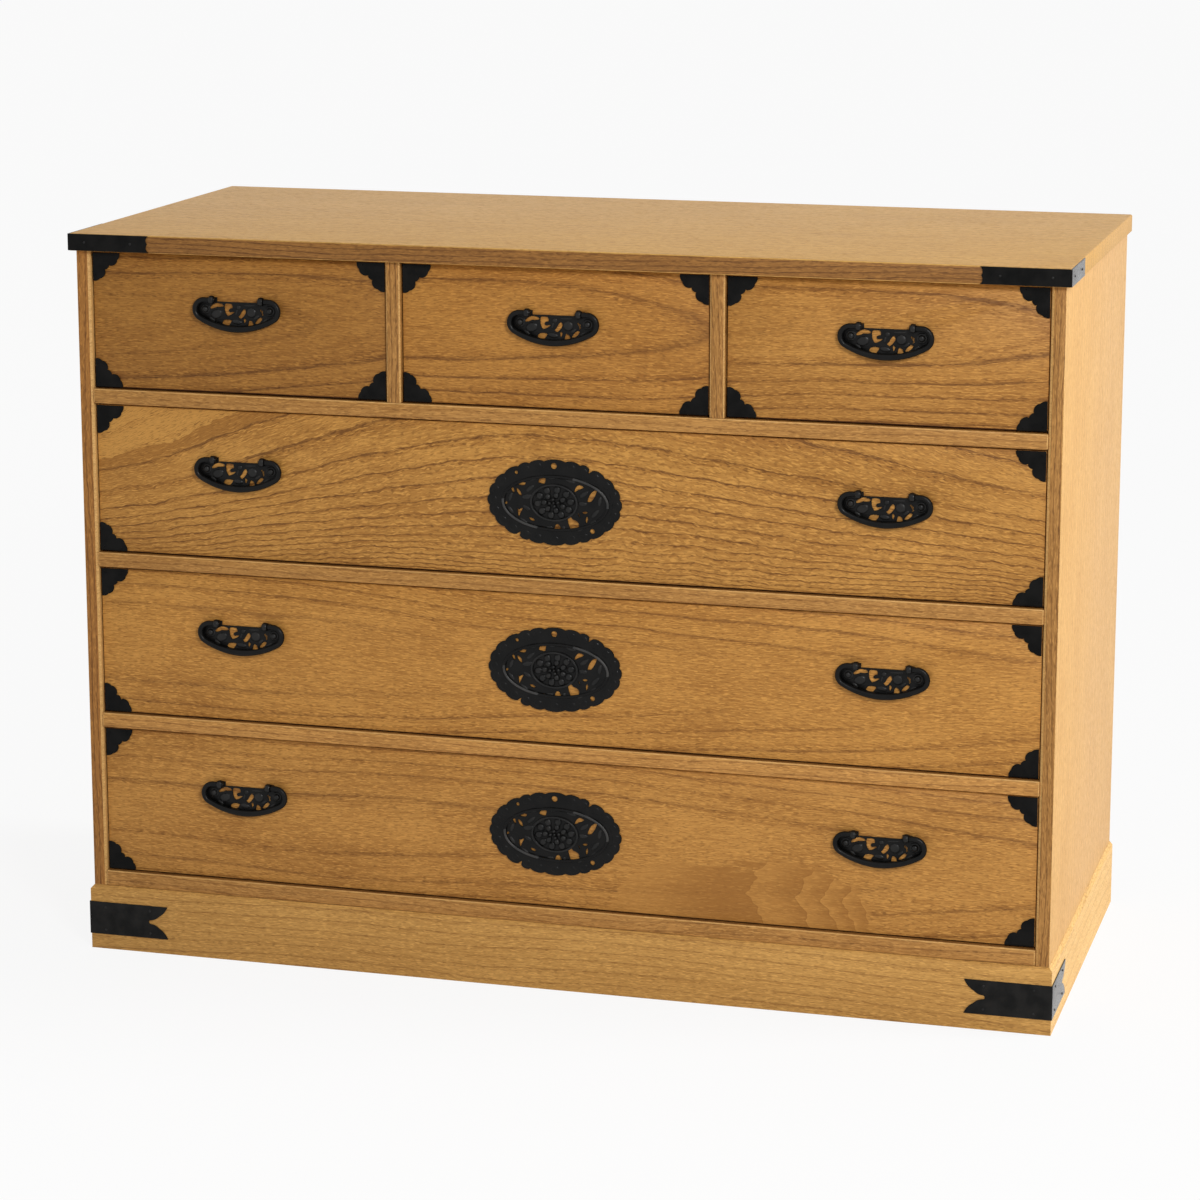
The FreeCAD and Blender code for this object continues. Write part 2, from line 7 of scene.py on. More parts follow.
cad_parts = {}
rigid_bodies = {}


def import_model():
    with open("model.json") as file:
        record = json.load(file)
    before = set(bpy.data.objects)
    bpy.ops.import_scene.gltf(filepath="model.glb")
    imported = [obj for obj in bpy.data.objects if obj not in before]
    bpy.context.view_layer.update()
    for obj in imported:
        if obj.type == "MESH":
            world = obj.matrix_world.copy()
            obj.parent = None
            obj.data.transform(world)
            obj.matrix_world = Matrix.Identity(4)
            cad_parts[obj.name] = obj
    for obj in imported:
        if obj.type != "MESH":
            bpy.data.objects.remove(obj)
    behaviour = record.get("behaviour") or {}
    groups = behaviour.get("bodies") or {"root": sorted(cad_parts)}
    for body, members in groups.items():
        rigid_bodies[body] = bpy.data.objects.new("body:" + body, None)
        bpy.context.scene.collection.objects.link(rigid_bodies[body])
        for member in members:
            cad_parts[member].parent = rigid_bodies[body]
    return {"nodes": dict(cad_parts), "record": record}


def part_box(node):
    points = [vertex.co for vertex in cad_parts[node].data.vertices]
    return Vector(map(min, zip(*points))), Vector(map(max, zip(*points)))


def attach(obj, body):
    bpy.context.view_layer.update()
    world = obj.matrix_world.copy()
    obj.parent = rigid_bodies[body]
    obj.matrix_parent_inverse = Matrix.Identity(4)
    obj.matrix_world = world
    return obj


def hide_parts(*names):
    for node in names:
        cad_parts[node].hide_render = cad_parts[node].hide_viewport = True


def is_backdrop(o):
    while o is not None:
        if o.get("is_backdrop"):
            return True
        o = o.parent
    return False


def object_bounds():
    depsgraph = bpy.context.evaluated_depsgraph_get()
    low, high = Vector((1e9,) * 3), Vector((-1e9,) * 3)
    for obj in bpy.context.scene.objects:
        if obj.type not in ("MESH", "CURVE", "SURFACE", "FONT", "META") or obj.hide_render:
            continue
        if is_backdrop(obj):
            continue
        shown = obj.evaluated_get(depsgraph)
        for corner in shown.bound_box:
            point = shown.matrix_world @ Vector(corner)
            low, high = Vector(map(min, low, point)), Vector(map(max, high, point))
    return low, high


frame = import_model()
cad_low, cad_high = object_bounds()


# Carcass boards. The two sides, the rails, the dividers and the top are planed boards of a
# light, open-grained wood under a thin satin oil. Every arris is eased with sandpaper, and
# the front edges of the sides carry a lipping of the same darker wood as the rails. The sides
# and the top are painted paler than the boards that face the front, as painted light; the
# front arrises are paler as a painted highlight, and the tops of the rails dark as painted shade.
class Wire:
    """A socket of a material that can stand in a sum."""

    def __init__(self, tree, socket=None):
        self.tree = tree
        self.socket = socket

    def node(self, kind, settings, sockets, output=0):
        made = self.tree.nodes.new(kind)
        for name, value in settings.items():
            setattr(made, name, value)
        for name, value in sockets.items():
            if isinstance(value, Wire):
                self.tree.links.new(value.socket, made.inputs[name])
            else:
                made.inputs[name].default_value = value
        return Wire(self.tree, made.outputs[output] if made.outputs else None)

    def maths(self, operation, first, second=0.0):
        return self.node("ShaderNodeMath", {"operation": operation}, {0: first, 1: second})

    def __add__(self, other):
        return self.maths("ADD", self, other)

    def __sub__(self, other):
        return self.maths("SUBTRACT", self, other)

    def __mul__(self, other):
        return self.maths("MULTIPLY", self, other)

    def __truediv__(self, other):
        return self.maths("DIVIDE", self, other)

    def __rsub__(self, other):
        return self.maths("SUBTRACT", other, self)

    __rmul__ = __mul__

    def ramp(self, low, high):
        """Rises smoothly from 0 to 1 between two values."""
        return self.node(
            "ShaderNodeMapRange",
            {"interpolation_type": "SMOOTHSTEP"},
            {"Value": self, "From Min": low, "From Max": high},
        )

    def blend(self, first, second):
        """Between two colours, with this value as the share of the second."""
        return self.node(
            "ShaderNodeMix", {"data_type": "RGBA"}, {0: self, 6: first, 7: second}, output=2
        )

    def noise(self, place, stretch, detail=2.0, roughness=0.5):
        """Noise over a place (three wires), stretched by a number for each."""
        scaled = [wire * share for wire, share in zip(place, stretch)]
        vector = self.node("ShaderNodeCombineXYZ", {}, dict(enumerate(scaled)))
        return self.node(
            "ShaderNodeTexNoise",
            {},
            {"Vector": vector, "Scale": 1.0, "Detail": detail, "Roughness": roughness},
        )


def new_material(name):
    material = bpy.data.materials.new(name)
    material.use_nodes = True
    tree = material.node_tree
    tree.nodes.clear()
    return material, Wire(tree)


def finish_material(wire, sockets):
    surface = wire.node("ShaderNodeBsdfPrincipled", {}, sockets)
    wire.node("ShaderNodeOutputMaterial", {}, {"Surface": surface})


def shaded(colour, shade):
    """A colour times a share for each of red, green and blue."""
    return (*(part * share for part, share in zip(colour, shade)), 1)


def wood(
    name, grain, colours, spacing, seed, marks=1.0, heart=(0.0, -0.8), bend=0.1, arch=None, patch=None
):
    """Oiled wood. grain names the axes along, across and into the board; colours are the
    pale wood, the deep wood and the line that ends a ring; marks is how strong these are.
    The rings close round the heart (two places, tilt, and the height and length of a plain
    core), and bend says how soon. An arch (reach to each side, height, foot, gathering)
    lifts them instead, and a patch (two places, two reaches, first arc) is browner."""
    material, wire = new_material(name)
    place = wire.node("ShaderNodeTexCoord", {}, {}, output=3)
    axes = {
        axis: wire.node("ShaderNodeSeparateXYZ", {}, {"Vector": place}, output=number)
        for number, axis in enumerate("XYZ")
    }
    along, across, inwards = (axes[axis] for axis in grain)
    shifted = (along + seed, across, inwards)
    sway = wire.noise(shifted, (2.4, 7.0, 7.0), 1.0) - 0.5
    ripple = wire.noise(shifted, (14.0, 60.0, 60.0)) - 0.5
    level = across + sway * 0.034 + ripple * 0.0045
    if arch:
        left, right, height, foot, gathering = arch
        left = wire.maths("MINIMUM", along, 0.0) / left
        right = wire.maths("MAXIMUM", along, 0.0) / right
        lift = wire.maths("EXPONENT", (left * left + right * right) * -1.0) * height + 1.0
        saw = (wire.noise(shifted, (32.0, 30.0, 30.0), 3.0, 0.6) - 0.5) * 0.008
        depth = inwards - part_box("upper_drawer_front")[0].y
        distance = wire.maths("MAXIMUM", (level + saw - foot) / lift + depth * 0.3, 0.001)
        rings = wire.maths("POWER", distance * 20.0, gathering) * (0.05 / gathering / spacing)
        density = wire.maths("POWER", distance * 20.0, gathering - 1.0) / (lift * spacing)
        fibre = distance * 1.8
    else:
        run = along - heart[0]
        rise = level - heart[1]
        if heart[2:]:
            tilt, core_height, core_length = heart[2:]
            rise = rise - run * tilt
            off, up = run / core_length, rise / core_height
            marks = wire.maths("SQRT", off * off + up * up).ramp(0.4, 1.0) * marks
        distance = wire.maths("SQRT", run * run * bend**2 + rise * rise + inwards * inwards * 0.2)
        rings = distance / spacing
        density = 1 / spacing
        fibre = level
    thread = wire.noise((along + seed, fibre, inwards), (52.0, 600.0, 420.0), 3.0, 0.62)
    dash = wire.noise((along + seed, fibre, inwards), (170.0, 1000.0, 700.0), 1.0).ramp(0.53, 0.66)
    fleck = wire.noise((along - seed, fibre, inwards), (130.0, 850.0, 600.0), 1.0).ramp(0.54, 0.68)
    uneven = wire.noise((distance, along, across), (30.0, 0.3, 0.3), 1.0)
    phase = wire.maths("FRACT", rings + uneven * 1.6 + thread * 0.3)
    fine = wire.maths("FRACT", rings * 2.7 + uneven * 4.0 + thread * 0.5)
    end = 1 - phase.ramp(0.965, 1.0)
    late = phase.ramp(0.93 - density * 0.0012, 0.95) * end
    near = phase.ramp(0.55, 0.93) * end * marks
    faint = fine.ramp(0.60, 0.92) * (1 - fine.ramp(0.95, 1.0)) * marks
    cloud = wire.noise(shifted, (8.0, 20.0, 20.0), 2.0)
    tone = cloud * 0.8 + thread * 1.3 + near * 0.32 + faint * 0.2 - fleck * 0.45 - 0.55
    if arch:
        pale = (distance + saw * 0.9 + thread * 0.002).ramp(0.0885, 0.0900)
        late = late * (1 - pale)
        tone = tone - pale * 0.4 - faint * 0.12 + distance.ramp(0.077, 0.088) * (1 - pale) * 1.2
    if patch:
        middle, height, half_length, half_height, first = patch
        off = (along - middle) / half_length
        up = (across - height) / half_height
        edge = wire.maths("SQRT", off * off * off * off + up * up) + thread * 0.12 + ripple * 0.8
        inside = 1 - edge.ramp(1.10, 1.18)
        lean = wire.maths("ABSOLUTE", across - height - 0.02) * 0.5
        past = (along - first - lean) / 0.051 + ripple * 0.5
        arcs = wire.maths("POWER", wire.maths("MAXIMUM", past, 0.0), 1.75)
        nested = wire.maths("FRACT", arcs) + past.ramp(-2.3, -0.4) * (1 - past.ramp(0.0, 0.02))
        tone = tone * (1 - inside * 0.6) + inside * (nested * 0.40 + 0.24)
        late = late * (1 - inside * 0.9) + nested.ramp(0.90, 0.99) * past.ramp(-0.03, 0.0) * inside * 0.35
        dash = dash * (1 - inside * 0.6)
        fleck = fleck * (1 - inside * 0.7)
    broken = (thread * 1.2 + wire.noise(shifted, (5.0, 30.0, 30.0), 1.0) - 0.65).ramp(0.0, 0.6)
    colour = tone.ramp(0.05, 0.95).blend(colours[0], colours[1])
    colour = (fleck * 0.35).blend(colour, shaded(colours[0], (1.25, 1.25, 1.25)))
    colour = (late * broken * (0.85 * marks)).blend(colour, colours[2])
    colour = (dash * (near * 0.35 + faint * 0.1 + 0.36)).blend(colour, colours[2])
    height = thread * 0.5 - late * 0.3 - dash * 0.7
    bump = wire.node(
        "ShaderNodeBump", {}, {"Height": height, "Strength": 0.25, "Distance": 0.0003}
    )
    rough = thread * 0.16 + dash * 0.12 + 0.40
    finish_material(
        wire,
        {"Base Color": colour, "Roughness": rough, "Normal": bump, "Specular IOR Level": 0.2},
    )
    return material


def eased_copy(node, easing):
    """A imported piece's own copy, with its arrises rounded if it has an easing."""
    piece = bpy.data.objects.new(node + "_finished", frame["nodes"][node].data.copy())
    bpy.context.scene.collection.objects.link(piece)
    piece.data.materials.clear()
    if not easing:
        return piece
    bpy.ops.object.select_all(action="DESELECT")
    piece.select_set(True)
    bpy.context.view_layer.objects.active = piece
    bpy.ops.mesh.customdata_custom_splitnormals_clear()
    bpy.ops.object.mode_set(mode="EDIT")
    bpy.ops.mesh.select_all(action="SELECT")
    bpy.ops.mesh.remove_doubles(threshold=0.000002)
    bpy.ops.mesh.dissolve_limited(angle_limit=math.radians(1))
    bpy.ops.object.mode_set(mode="OBJECT")
    bevel = piece.modifiers.new("Easing", "BEVEL")
    bevel.width = easing
    bevel.segments = 2
    bevel.limit_method = "ANGLE"
    bevel.angle_limit = math.radians(35)
    bpy.ops.object.modifier_apply(modifier=bevel.name)
    bpy.ops.object.shade_smooth_by_angle(angle=math.radians(35))
    return piece


def body_of(node):
    return next(name for name, nodes in frame["record"]["behaviour"]["bodies"].items() if node in nodes)


def dress(node, easing, all_over, front=None, arris=None, upper=None, under=None):
    """Eases a board and gives it its wood, with others on its front, its front arrises, its
    top and its lower front arris."""
    board = eased_copy(node, easing)
    for material in (all_over, front, arris, upper, under):
        board.data.materials.append(material or all_over)
    for polygon in board.data.polygons:
        if polygon.normal.y < -0.93:
            polygon.material_index = 1
        elif polygon.normal.y < -0.3 and polygon.normal.z > -0.3:
            polygon.material_index = 2
        elif polygon.normal.z > 0.9:
            polygon.material_index = 3
        elif polygon.normal.y < -0.05 and polygon.normal.z < -0.3:
            polygon.material_index = 4
    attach(board, body_of(node))
    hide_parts(node)
    return board


# The sides and the top are painted paler and whiter than the rails, the dividers and the fronts: painted
# light where the light from the right and from above falls.
lit_side_colours = ((0.66, 0.39, 0.135, 1), (0.56, 0.31, 0.099, 1), (0.36, 0.17, 0.050, 1))
lit_top_colours = ((0.61, 0.345, 0.093, 1), (0.51, 0.275, 0.068, 1), (0.28, 0.13, 0.032, 1))
rail_colours = ((0.50, 0.250, 0.068, 1), (0.35, 0.160, 0.038, 1), (0.14, 0.055, 0.014, 1))
brown_colours = ((0.31, 0.140, 0.034, 1), (0.21, 0.088, 0.021, 1), (0.09, 0.034, 0.009, 1))
top_wood = wood("TopWood", "XYZ", lit_top_colours, 0.013, 3.1, 0.45, (0.2, -0.9), 0.12)
side_wood = wood("SideWood", "ZYX", lit_side_colours, 0.014, 7.7, 0.42, (0.2, -0.7), 0.10)
stile_colours = ((0.43, 0.19, 0.044, 1), (0.29, 0.12, 0.027, 1), (0.13, 0.048, 0.012, 1))
stile_wood = wood("StileWood", "ZXY", stile_colours, 0.005, 5.2, 0.8, (0.2, -0.9), 0.03)
divider_colours = ((0.45, 0.220, 0.060, 1), (0.30, 0.137, 0.033, 1), (0.12, 0.048, 0.012, 1))
divider_wood = wood("DividerWood", "ZXY", divider_colours, 0.006, 6.2, 0.8, (0.2, -0.9), 0.03)
# A darker wood: the real lipping on the front of the top board, and painted shade on the tops of the rails
# under each drawer.
lipping_and_gap_shade_wood = wood("LippingWood", "XZY", brown_colours, 0.005, 2.2, 0.8, (0.1, 0.2), 0.02)
# Paler wood on the front arrises of the sides, rails and dividers: a painted highlight along their edges.
arris_highlight_wood = wood("ArrisWood", "XZY", lit_side_colours, 0.010, 4.2, 0.4)
dress("top_board", 0.0008, top_wood, lipping_and_gap_shade_wood)
dress("left_side_panel", 0.0005, side_wood, stile_wood, arris_highlight_wood)
dress("right_side_panel", 0.0005, side_wood, divider_wood, arris_highlight_wood)
rails = (("bottom", 1.3, 1.0), ("lower", 4.7, 1.17), ("middle", 7.1, 1.0), ("upper", 2.5, 1.0))
for rail, seed, shade in rails:
    colours = [shaded(colour, (shade, shade, shade)) for colour in rail_colours]
    rail_wood = wood(rail.title() + "RailWood", "XZY", colours, 0.008, seed, 0.5, (0.0, -0.4), 0.05)
    # The top of each rail gets the dark wood as painted shade under the drawer above it.
    dress(rail + "_rail", 0.0011, rail_wood, rail_wood, arris_highlight_wood, lipping_and_gap_shade_wood)
dress("small_drawer_dividers", 0.0009, divider_wood, divider_wood, arris_highlight_wood)


# Inside of the carcass: thin shelf boards, the floor, the back and the drawer stops are
# left bare, planed but not oiled, so they are paler than what shows outside.
def leave_bare(node, material):
    """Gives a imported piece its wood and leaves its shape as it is."""
    for material_slot in frame["nodes"][node].material_slots:
        material_slot.material = material


bare_colours = ((0.72, 0.54, 0.33, 1), (0.62, 0.44, 0.25, 1), (0.48, 0.31, 0.16, 1))
bare_wood = wood("BareWood", "XYZ", bare_colours, 0.013, 4.4, 0.5)
back_wood = wood("BackWood", "ZXY", bare_colours, 0.013, 6.4, 0.6)
for node in ("floor_board", "lower_shelf", "middle_shelf", "upper_shelf", "drawer_stops"):
    leave_bare(node, bare_wood)
leave_bare("back_panel", back_wood)


# Plinth: a mitred frame of thicker boards that stands a little proud of the carcass, with
# a planed bevel on its upper edge. The grain runs along each board.
plinth_colours = ((0.63, 0.345, 0.096, 1), (0.47, 0.24, 0.060, 1), (0.22, 0.095, 0.024, 1))
plinth_wood = wood("PlinthWood", "XZY", plinth_colours, 0.009, 8.3, 0.5, (-0.1, -0.12), 0.11)
# The sides and back of the plinth are painted paler and whiter than its front, as painted light on the side
# lit from the right.
plinth_lit_side_colours = ((0.73, 0.46, 0.163, 1), (0.62, 0.37, 0.12, 1), (0.40, 0.20, 0.06, 1))
plinth_side_wood = wood("PlinthSideWood", "YZX", plinth_lit_side_colours, 0.012, 2.9, 0.5, (0.0, -0.3))
plinth_back_wood = wood("PlinthBackWood", "XZY", plinth_lit_side_colours, 0.012, 6.6, 0.5, (0.1, -0.3))
dress("plinth_front", 0.0005, plinth_wood)
boards = dress("plinth_sides_and_back", 0, plinth_side_wood, plinth_back_wood)
for polygon in boards.data.polygons:
    if polygon.normal.y > 0.5:
        polygon.material_index = 1


# Corner straps: thin black iron, bent round the corners of the top and of the plinth and
# held by small domed nails, two on each leg of the top and four on each leg below.
def iron(name, tone, roughness, gloss):
    """Blackened iron under a thin lacquer, faintly uneven from the hammer."""
    material, wire = new_material(name)
    place = wire.node("ShaderNodeTexCoord", {}, {}, output=3)
    axes = [
        wire.node("ShaderNodeSeparateXYZ", {}, {"Vector": place}, output=number) for number in range(3)
    ]
    dents = wire.noise(axes, (420.0, 420.0, 420.0), 2.0)
    grit = wire.noise(axes, (2600.0, 2600.0, 2600.0), 1.0)
    cloud = wire.noise(axes, (70.0, 70.0, 70.0), 2.0)
    dark, light = (tone, tone, tone * 0.97, 1), (tone * 2.1, tone * 2.0, tone * 1.9, 1)
    colour = cloud.ramp(0.3, 0.7).blend(dark, light)
    bump = wire.node(
        "ShaderNodeBump", {}, {"Height": dents + grit * 0.35, "Strength": 0.35, "Distance": 0.0004}
    )
    rough = cloud * 0.18 + grit * 0.10 + roughness
    finish_material(
        wire,
        {"Base Color": colour, "Roughness": rough, "Normal": bump, "Specular IOR Level": gloss},
    )
    return material


strap_iron = iron("StrapIron", 0.0035, 0.16, 0.07)
plinth_iron = iron("PlinthIron", 0.0075, 0.16, 0.08)
# Lighter, glossier iron for the straps' sideways legs: a painted sheen on the side lit from the right.
side_sheen_iron = iron("SideIron", 0.008, 0.10, 0.4)
# Lighter, glossier iron for nail heads and the crowns of raised relief: partly lacquer rubbed thin, partly
# a painted highlight.
rubbed_and_highlight_iron = iron("RubbedIron", 0.007, 0.18, 0.2)


def join(name, pieces):
    """Joins pieces into one, at the origin."""
    bpy.ops.object.select_all(action="DESELECT")
    for piece in pieces:
        piece.select_set(True)
    bpy.context.view_layer.objects.active = pieces[0]
    bpy.ops.object.join()
    bpy.ops.object.transform_apply(location=True, rotation=True, scale=True)
    pieces[0].name = name
    return pieces[0]


def dome(across, up, rise, segments=12):
    """A low dome that looks to the front, its flat back at the origin."""
    bpy.ops.object.select_all(action="DESELECT")
    bpy.ops.mesh.primitive_uv_sphere_add(segments=segments, ring_count=8, radius=1)
    head = bpy.context.object
    bpy.ops.object.mode_set(mode="EDIT")
    bpy.ops.mesh.select_all(action="SELECT")
    bpy.ops.mesh.bisect(plane_co=(0, 0, 0), plane_no=(0, 1, 0), use_fill=True, clear_outer=True)
    bpy.ops.mesh.select_all(action="SELECT")
    bpy.ops.transform.resize(value=(across, rise, up), center_override=(0, 0, 0))
    bpy.ops.object.mode_set(mode="OBJECT")
    bpy.ops.object.shade_smooth_by_angle(angle=math.radians(50))
    return head


def placed_copy(piece, place, turn=0.0, facing=0.0):
    """A copy with its own mesh, turned in the plane of the front and set in place."""
    copy = bpy.data.objects.new(piece.name, piece.data.copy())
    turned = Matrix.Rotation(facing, 4, "Z") @ Matrix.Rotation(-turn, 4, "Y")
    copy.data.transform(Matrix.Translation(place) @ turned)
    bpy.context.scene.collection.objects.link(copy)
    return copy


nail_distances = (0.018, 0.067)
nail = dome(0.00125, 0.00125, 0.0007, 16)
nail.data.materials.append(rubbed_and_highlight_iron)
for node, heights, face_iron in (
    ("top_corner_straps", (0.5,), strap_iron), ("plinth_corner_straps", (0.15, 0.84), plinth_iron),
):
    strap = dress(node, 0.00025, face_iron, arris=side_sheen_iron)
    # The legs that face sideways get the lighter, glossier iron as a painted sheen.
    for polygon in strap.data.polygons:
        polygon.material_index = 2 if abs(polygon.normal.x) > 0.9 else 0
    low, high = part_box(node)
    nails = []
    for share in heights:
        level = low.z + share * (high.z - low.z)
        for distance in nail_distances:
            for side in (-1, 1):
                edge = low.x if side < 0 else high.x
                nails.append(placed_copy(nail, (edge - side * distance, low.y, level)))
                nails.append(placed_copy(nail, (edge, low.y + distance, level), 0, side * math.pi / 2))
    nails = join(node + "_nails", nails)
    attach(nails, "carcass")
bpy.data.objects.remove(nail)


# Drawers. Each front is one board chosen for its figure, so every front has rings of its
# own; sides, back and bottom are bare boards, with finger joints at the rear corners.
front_colours = ((0.56, 0.274, 0.064), (0.355, 0.153, 0.031), (0.12, 0.043, 0.010))
# Of each front: its shade, and from the spacing on what wood() takes, in the same order.
drawer_figures = {
    "left_small_drawer": (
        (0.685, 0.64, 0.555), 0.0090, 0.7, 0.8, (-0.47, 0.650, 0.055, 0.048, 0.36), 0.135,
    ),
    "middle_small_drawer": ((0.86, 0.81, 0.72), 0.0085, 2.6, 0.76, (-0.16, 0.670, 0.0, 0.044, 0.43), 0.13),
    "right_small_drawer": ((0.91, 0.895, 0.87), 0.0085, 4.9, 0.8, (0.155, 0.680, 0.0, 0.014, 0.13), 0.11),
    "upper_drawer": ((0.98, 0.99, 0.97), 0.0080, 1.1, 0.9, None, None, (0.35, 0.55, 2.2, 0.392, -0.15)),
    "middle_drawer": ((1.01, 1.00, 0.96), 0.0085, 5.8, 0.6, (-0.45, 0.325, 0.0, 0.05, 9.0), 0.085),
    "lower_drawer": (
        (0.98, 0.98, 0.99), 0.0090, 3.3, 0.5, (-0.40, 0.150, 0.0, 0.03, 9.0), 0.07,
        None, (0.19, 0.095, 0.125, 0.046, 0.196),
    ),
}
box_wood = wood("BoxWood", "YZX", bare_colours, 0.012, 9.1, 0.5)
# Near-black wood for the lower front arris of each drawer front: painted shade in the gap above the rail.
gap_shade_colours = ((0.10, 0.036, 0.012, 1), (0.07, 0.024, 0.008, 1), (0.03, 0.010, 0.004, 1))
gap_shade_wood = wood("DarkArrisWood", "XZY", gap_shade_colours, 0.008, 5.5, 0.5)
for drawer, (shade, spacing, seed, *figure) in drawer_figures.items():
    colours = [shaded(colour, shade) for colour in front_colours]
    figured = wood(drawer.title().replace("_", "") + "Wood", "XZY", colours, spacing, seed, *figure)
    dress(drawer + "_front", 0.0013, figured, under=gap_shade_wood)
    leave_bare(drawer + "_box", box_wood)
    leave_bare(drawer + "_bottom", bare_wood)


# Corner plates of the drawer fronts: thin black iron cut to a cloud edge of five lobes,
# each held by three tiny nails.
def cut_sheet(outlines, thickness, easing, smooth=6):
    """Sheet iron cut to closed lines, the inner ones open, with its back on y = 0. A line is
    made of (across, up, swell) points in millimetres; its sides swell away from its inside."""
    curve = bpy.data.curves.new("sheet", "CURVE")
    curve.dimensions = "2D"
    curve.fill_mode = "BOTH"
    curve.resolution_u = smooth
    curve.extrude = thickness / 2 - easing
    curve.bevel_depth = easing
    curve.bevel_resolution = 1 if easing < 0.0006 else 3
    curve.offset = -easing
    for points in outlines:
        spline = curve.splines.new("BEZIER")
        spline.bezier_points.add(len(points) - 1)
        spline.use_cyclic_u = True
        for number, (across, up, swell) in enumerate(points):
            following = (number + 1) % len(points)
            start = Vector((across, up, 0)) / 1000
            run = Vector((points[following][0], points[following][1], 0)) / 1000 - start
            # A side swells by three quarters of what its handles stand out.
            bulge = Vector((run.y, -run.x, 0)).normalized() * swell / 750
            reach = 0.22 if swell / 1000 > 0.1 * run.length else 1 / 3
            here, there = spline.bezier_points[number], spline.bezier_points[following]
            here.handle_left_type = here.handle_right_type = "FREE"
            here.co = start
            here.handle_right = start + run * reach + bulge
            there.handle_left = start + run * (1 - reach) + bulge
    sheet = bpy.data.objects.new("sheet", curve)
    bpy.context.scene.collection.objects.link(sheet)
    bpy.ops.object.select_all(action="DESELECT")
    sheet.select_set(True)
    bpy.context.view_layer.objects.active = sheet
    bpy.ops.object.convert(target="MESH")
    sheet = bpy.context.object
    bpy.ops.object.mode_set(mode="EDIT")
    bpy.ops.mesh.select_all(action="SELECT")
    bpy.ops.mesh.remove_doubles(threshold=0.000002)
    bpy.ops.mesh.normals_make_consistent(inside=False)
    bpy.ops.object.mode_set(mode="OBJECT")
    sheet.data.transform(Matrix.Translation((0, -thickness / 2, 0)) @ Matrix.Rotation(math.pi / 2, 4, "X"))
    bpy.ops.object.shade_smooth_by_angle(angle=math.radians(30))
    return sheet


leg = 28.5
cloud = [
    (0, 0, 0), (leg, 0, 1.0), (26.2, 7.0, 2.7), (17.0, 12.6, 1.3),
    (12.6, 17.0, 2.7), (7.0, 26.2, 1.0), (0, leg, 0),
]
corner_thickness = 0.0012
corner_sheet = cut_sheet([cloud], corner_thickness, 0.0002)
corner_nail = dome(0.0008, 0.0008, 0.0005, 10)
for drawer in drawer_figures:
    low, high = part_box(drawer + "_corner_plates")
    plates = []
    corners = [(low.x, low.z), (high.x, low.z), (high.x, high.z), (low.x, high.z)]
    for number, (x, z) in enumerate(corners):
        turn = number * math.pi / 2
        plates.append(placed_copy(corner_sheet, (x, high.y, z), turn))
        for across, up in ((0.14, 0.14), (0.80, 0.10), (0.10, 0.80)):
            spot = Matrix.Rotation(turn, 2) @ Vector((across, up)) * leg / 1000
            place = (x + spot.x, high.y - corner_thickness, z + spot.y)
            plates.append(placed_copy(corner_nail, place))
    plates = join(drawer + "_corner_plates_finished", plates)
    plates.data.materials.append(strap_iron)
    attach(plates, drawer)
    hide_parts(drawer + "_corner_plates")
bpy.data.objects.remove(corner_sheet)
bpy.data.objects.remove(corner_nail)


# Handle plates: a crescent of sheet iron with round ears, pierced and chased with leaves.
# Two posts with an eye go through it into the front, and a round-headed nail sits in each ear.
black_iron = iron("BlackIron", 0.0026, 0.16, 0.14)


def blacken(piece, proud, worn_and_highlight):
    """Black iron, with a lighter iron where it stands a height proud of y = 0: lacquer rubbed thin there,
    and partly a painted highlight.
    """
    piece.data.materials.clear()
    for material in (black_iron, worn_and_highlight):
        piece.data.materials.append(material)
    for polygon in piece.data.polygons:
        polygon.material_index = 1 if polygon.center.y < -proud else 0


curl_place, curl_radius, drop = 34.0, 9.8, 28.5
eye_place, eye_radius, eye_bore = 26.0, 4.4, 2.68
standoff = 0.0051
fall = drop - curl_radius
low_centre = (curl_place**2 + curl_radius**2 - fall**2) / (2 * (fall - curl_radius))
low_turn = math.atan2(curl_place, low_centre + curl_radius)


def along_arc(across, up, radius, start, stop, steps):
    """Points along an arc, as angles from the right, with the swell of each piece."""
    swell = radius * (1 - math.cos((stop - start) / steps / 2))
    turns = [start + (stop - start) * step / steps for step in range(steps)]
    return [(across + radius * math.cos(t), up + radius * math.sin(t), swell) for t in turns]


